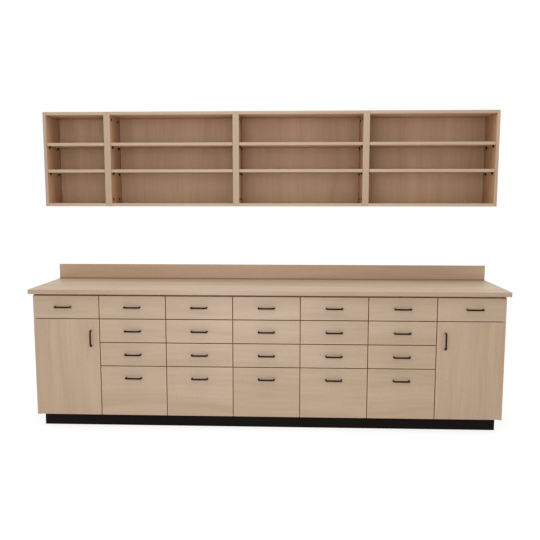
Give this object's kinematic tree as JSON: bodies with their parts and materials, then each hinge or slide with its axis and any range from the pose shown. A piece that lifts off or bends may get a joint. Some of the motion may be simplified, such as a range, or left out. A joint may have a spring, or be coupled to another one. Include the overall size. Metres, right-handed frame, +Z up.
{
  "type": "pharmacy cabinet with wall shelves",
  "caption": "Long pharmacy base cabinet with drawers, file drawers and end cupboards under a worktop with splash, and open wall shelf boxes above it; pale laminate, black pulls.",
  "frame": {"origin": "on the floor, under the middle of the whole assembly's box", "axes": "+X along the wall to the right as seen from the front, +Y into the wall, +Z up"},
  "size_m": [3.044, 0.605, 2.062],
  "materials": {
    "front_laminate": "satin pale wood-grain laminate",
    "worktop_laminate": "satin pale wood-grain laminate",
    "case_laminate": "satin pale wood-grain laminate",
    "black_board": "matt black laminate",
    "black_metal": "satin black"
  },
  "bodies": {
    "cabinet": {"plinth_front": "black_board", "plinth_back": "black_board", "plinth_left": "black_board", "plinth_middle": "black_board", "plinth_right": "black_board", "base_end_left": "case_laminate", "base_end_right": "case_laminate", "base_partition_1": "case_laminate", "base_partition_2": "case_laminate", "base_partition_3": "case_laminate", "base_partition_4": "case_laminate", "base_partition_5": "case_laminate", "base_partition_6": "case_laminate", "base_bottom": "case_laminate", "base_back": "case_laminate", "base_anchor_rail": "case_laminate", "base_front_rail": "case_laminate", "base_rear_rail": "case_laminate", "base_divider_left": "case_laminate", "base_divider_right": "case_laminate", "worktop": "worktop_laminate", "wall_box_1": "case_laminate", "wall_box_2": "case_laminate", "wall_box_3": "case_laminate", "wall_box_4": "case_laminate", "shelf_1_lower": "case_laminate", "shelf_1_upper": "case_laminate", "shelf_2_lower": "case_laminate", "shelf_2_upper": "case_laminate", "shelf_3_lower": "case_laminate", "shelf_3_upper": "case_laminate", "shelf_4_lower": "case_laminate", "shelf_4_upper": "case_laminate"},
    "drawer_1_top": {"drawer_1_top": "front_laminate"},
    "drawer_2_file": {"drawer_2_file": "front_laminate"},
    "drawer_2_third": {"drawer_2_third": "front_laminate"},
    "drawer_2_second": {"drawer_2_second": "front_laminate"},
    "drawer_2_top": {"drawer_2_top": "front_laminate"},
    "drawer_3_file": {"drawer_3_file": "front_laminate"},
    "drawer_3_third": {"drawer_3_third": "front_laminate"},
    "drawer_3_second": {"drawer_3_second": "front_laminate"},
    "drawer_3_top": {"drawer_3_top": "front_laminate"},
    "drawer_4_file": {"drawer_4_file": "front_laminate"},
    "drawer_4_third": {"drawer_4_third": "front_laminate"},
    "drawer_4_second": {"drawer_4_second": "front_laminate"},
    "drawer_4_top": {"drawer_4_top": "front_laminate"},
    "drawer_5_file": {"drawer_5_file": "front_laminate"},
    "drawer_5_third": {"drawer_5_third": "front_laminate"},
    "drawer_5_second": {"drawer_5_second": "front_laminate"},
    "drawer_5_top": {"drawer_5_top": "front_laminate"},
    "drawer_6_file": {"drawer_6_file": "front_laminate"},
    "drawer_6_third": {"drawer_6_third": "front_laminate"},
    "drawer_6_second": {"drawer_6_second": "front_laminate"},
    "drawer_6_top": {"drawer_6_top": "front_laminate"},
    "drawer_7_top": {"drawer_7_top": "front_laminate"},
    "door_left": {"door_left": "front_laminate", "pull_door_left": "black_metal"},
    "door_right": {"door_right": "front_laminate", "pull_door_right": "black_metal"}
  },
  "joints": [
    {"name": "drawer_1_top_slide", "type": "slide", "parent": "cabinet", "child": "drawer_1_top", "axis": [0, -1, 0], "range_m": [0, 0.38]},
    {"name": "drawer_2_file_slide", "type": "slide", "parent": "cabinet", "child": "drawer_2_file", "axis": [0, -1, 0], "range_m": [0, 0.38]},
    {"name": "drawer_2_third_slide", "type": "slide", "parent": "cabinet", "child": "drawer_2_third", "axis": [0, -1, 0], "range_m": [0, 0.38]},
    {"name": "drawer_2_second_slide", "type": "slide", "parent": "cabinet", "child": "drawer_2_second", "axis": [0, -1, 0], "range_m": [0, 0.38]},
    {"name": "drawer_2_top_slide", "type": "slide", "parent": "cabinet", "child": "drawer_2_top", "axis": [0, -1, 0], "range_m": [0, 0.38]},
    {"name": "drawer_3_file_slide", "type": "slide", "parent": "cabinet", "child": "drawer_3_file", "axis": [0, -1, 0], "range_m": [0, 0.38]},
    {"name": "drawer_3_third_slide", "type": "slide", "parent": "cabinet", "child": "drawer_3_third", "axis": [0, -1, 0], "range_m": [0, 0.38]},
    {"name": "drawer_3_second_slide", "type": "slide", "parent": "cabinet", "child": "drawer_3_second", "axis": [0, -1, 0], "range_m": [0, 0.38]},
    {"name": "drawer_3_top_slide", "type": "slide", "parent": "cabinet", "child": "drawer_3_top", "axis": [0, -1, 0], "range_m": [0, 0.38]},
    {"name": "drawer_4_file_slide", "type": "slide", "parent": "cabinet", "child": "drawer_4_file", "axis": [0, -1, 0], "range_m": [0, 0.38]},
    {"name": "drawer_4_third_slide", "type": "slide", "parent": "cabinet", "child": "drawer_4_third", "axis": [0, -1, 0], "range_m": [0, 0.38]},
    {"name": "drawer_4_second_slide", "type": "slide", "parent": "cabinet", "child": "drawer_4_second", "axis": [0, -1, 0], "range_m": [0, 0.38]},
    {"name": "drawer_4_top_slide", "type": "slide", "parent": "cabinet", "child": "drawer_4_top", "axis": [0, -1, 0], "range_m": [0, 0.38]},
    {"name": "drawer_5_file_slide", "type": "slide", "parent": "cabinet", "child": "drawer_5_file", "axis": [0, -1, 0], "range_m": [0, 0.38]},
    {"name": "drawer_5_third_slide", "type": "slide", "parent": "cabinet", "child": "drawer_5_third", "axis": [0, -1, 0], "range_m": [0, 0.38]},
    {"name": "drawer_5_second_slide", "type": "slide", "parent": "cabinet", "child": "drawer_5_second", "axis": [0, -1, 0], "range_m": [0, 0.38]},
    {"name": "drawer_5_top_slide", "type": "slide", "parent": "cabinet", "child": "drawer_5_top", "axis": [0, -1, 0], "range_m": [0, 0.38]},
    {"name": "drawer_6_file_slide", "type": "slide", "parent": "cabinet", "child": "drawer_6_file", "axis": [0, -1, 0], "range_m": [0, 0.38]},
    {"name": "drawer_6_third_slide", "type": "slide", "parent": "cabinet", "child": "drawer_6_third", "axis": [0, -1, 0], "range_m": [0, 0.38]},
    {"name": "drawer_6_second_slide", "type": "slide", "parent": "cabinet", "child": "drawer_6_second", "axis": [0, -1, 0], "range_m": [0, 0.38]},
    {"name": "drawer_6_top_slide", "type": "slide", "parent": "cabinet", "child": "drawer_6_top", "axis": [0, -1, 0], "range_m": [0, 0.38]},
    {"name": "drawer_7_top_slide", "type": "slide", "parent": "cabinet", "child": "drawer_7_top", "axis": [0, -1, 0], "range_m": [0, 0.38]},
    {"name": "door_left_hinge", "type": "hinge", "parent": "cabinet", "child": "door_left", "pos_m": [-1.49175, -0.2645, 0.41], "axis": [0, 0, -1], "range_deg": [0, 110]},
    {"name": "door_right_hinge", "type": "hinge", "parent": "cabinet", "child": "door_right", "pos_m": [1.49175, -0.2645, 0.41], "axis": [0, 0, 1], "range_deg": [0, 110]}
  ]
}
